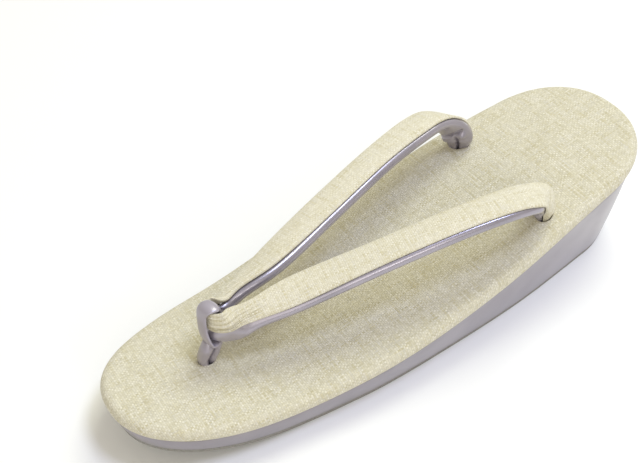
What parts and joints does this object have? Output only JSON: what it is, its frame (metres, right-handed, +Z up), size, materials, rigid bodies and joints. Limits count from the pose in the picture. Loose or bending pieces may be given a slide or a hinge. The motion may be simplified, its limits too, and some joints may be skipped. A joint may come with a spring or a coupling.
{
  "type": "zori sandal",
  "caption": "Dress zori sandal with a wedge sole, a padded woven footbed and a padded V-shaped strap held by a leather toe loop.",
  "frame": {"origin": "on the floor under the middle of the sandal", "axes": "+Z up, toe towards -Y, heel towards +Y, +X across the sandal"},
  "size_m": [0.0816, 0.242, 0.0601],
  "materials": {
    "woven_cloth": "plain weave of cream, straw and grey threads, matte",
    "lilac_leather": "smooth lilac-grey leather with a soft pearly gloss",
    "pale_rubber": "pale grey sheet, matte"
  },
  "bodies": {
    "root": {"outsole": "pale_rubber", "midsole": "lilac_leather", "footbed": "woven_cloth", "strap_face": "woven_cloth", "strap_backing": "lilac_leather", "toe_loop": "lilac_leather"}
  },
  "joints": []
}
